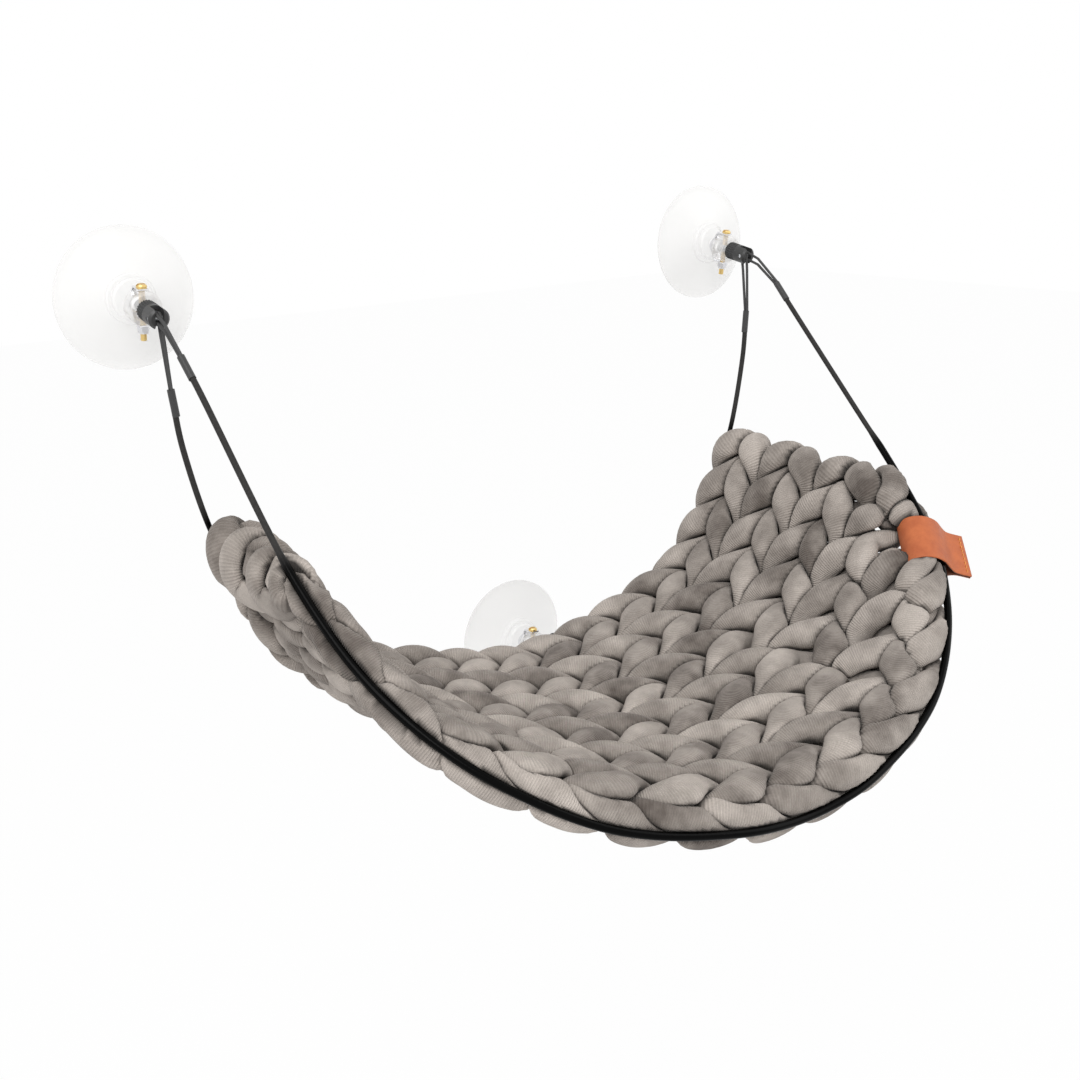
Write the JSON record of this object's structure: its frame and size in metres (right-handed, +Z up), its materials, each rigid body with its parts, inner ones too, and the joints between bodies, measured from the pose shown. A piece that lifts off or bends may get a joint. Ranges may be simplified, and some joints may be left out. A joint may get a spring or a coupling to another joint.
{
  "type": "window mounted cat perch",
  "caption": "Cat hammock of thick velvety knit, hung on coated cords from clear suction cups with chromed clips, black cord caps and a tan leather label.",
  "frame": {"origin": "on the window glass, midway between the centres of the two upper suction cups", "axes": "+Z up, +Y into the glass, -Y into the room, +X to the right as seen from the room"},
  "size_m": [0.605, 0.388, 0.406],
  "materials": {
    "clear_pvc": "clear, glossy",
    "chromed_strip": "polished",
    "brass": "bright",
    "zinc_nut": "zinc plated",
    "steel": "plain",
    "black_rubber": "knurled, matte",
    "black_plastic": "satin",
    "cord_coating": "glossy",
    "bare_strand": "matte",
    "shrink_tube": "satin",
    "knit": "ribbed velvet yarn",
    "leather": "smooth, tan",
    "thread": "waxed"
  },
  "bodies": {
    "window_anchors": {"suction_cup_left": "clear_pvc", "suction_cup_right": "clear_pvc", "neck_clip_left": "chromed_strip", "neck_clip_right": "chromed_strip", "cross_screw_left": "brass", "cross_screw_right": "brass", "lock_nut_left": "zinc_nut", "lock_nut_right": "zinc_nut", "anchor_stud_left": "steel", "anchor_stud_right": "steel", "cord_cap_left": "black_plastic", "cord_cap_right": "black_plastic", "cord_pin_left": "steel", "cord_pin_right": "steel"},
    "sling": {"front_cord": "cord_coating", "back_cord": "cord_coating", "lower_cord_loop": "bare_strand", "front_loop_left": "bare_strand", "front_loop_right": "bare_strand", "back_loop_left": "bare_strand", "back_loop_right": "bare_strand", "front_shrink_tube_left": "shrink_tube", "front_shrink_tube_right": "shrink_tube", "back_shrink_tube_left": "shrink_tube", "back_shrink_tube_right": "shrink_tube", "knitted_sling": "knit", "leather_label": "leather", "label_stitching": "thread"},
    "lower_anchor": {"suction_cup_lower": "clear_pvc", "neck_clip_lower": "chromed_strip", "cross_screw_lower": "brass", "lock_nut_lower": "zinc_nut", "anchor_stud_lower": "steel", "cord_cap_lower": "black_plastic", "cord_pin_lower": "steel"},
    "grip_left": {"knurled_grip_left": "black_rubber"},
    "grip_right": {"knurled_grip_right": "black_rubber"}
  },
  "joints": [
    {"name": "sling_swing", "type": "hinge", "parent": "window_anchors", "child": "sling", "pos_m": [0, -0.0572, -0.00836], "axis": [-1, 0, 0], "range_deg": [0, 40]},
    {"name": "lower_anchor_tilt", "type": "hinge", "parent": "sling", "child": "lower_anchor", "pos_m": [0.042, -0.0485, -0.311], "axis": [1, 0, 0], "range_deg": [-30, 30]},
    {"name": "grip_turn_left", "type": "hinge", "parent": "window_anchors", "child": "grip_left", "pos_m": [-0.255, -0.04424, -0.00584], "axis": [0, -0.9816, -0.1908], "continuous": true},
    {"name": "grip_turn_right", "type": "hinge", "parent": "window_anchors", "child": "grip_right", "pos_m": [0.255, -0.04424, -0.00584], "axis": [0, -0.9816, -0.1908], "continuous": true}
  ]
}
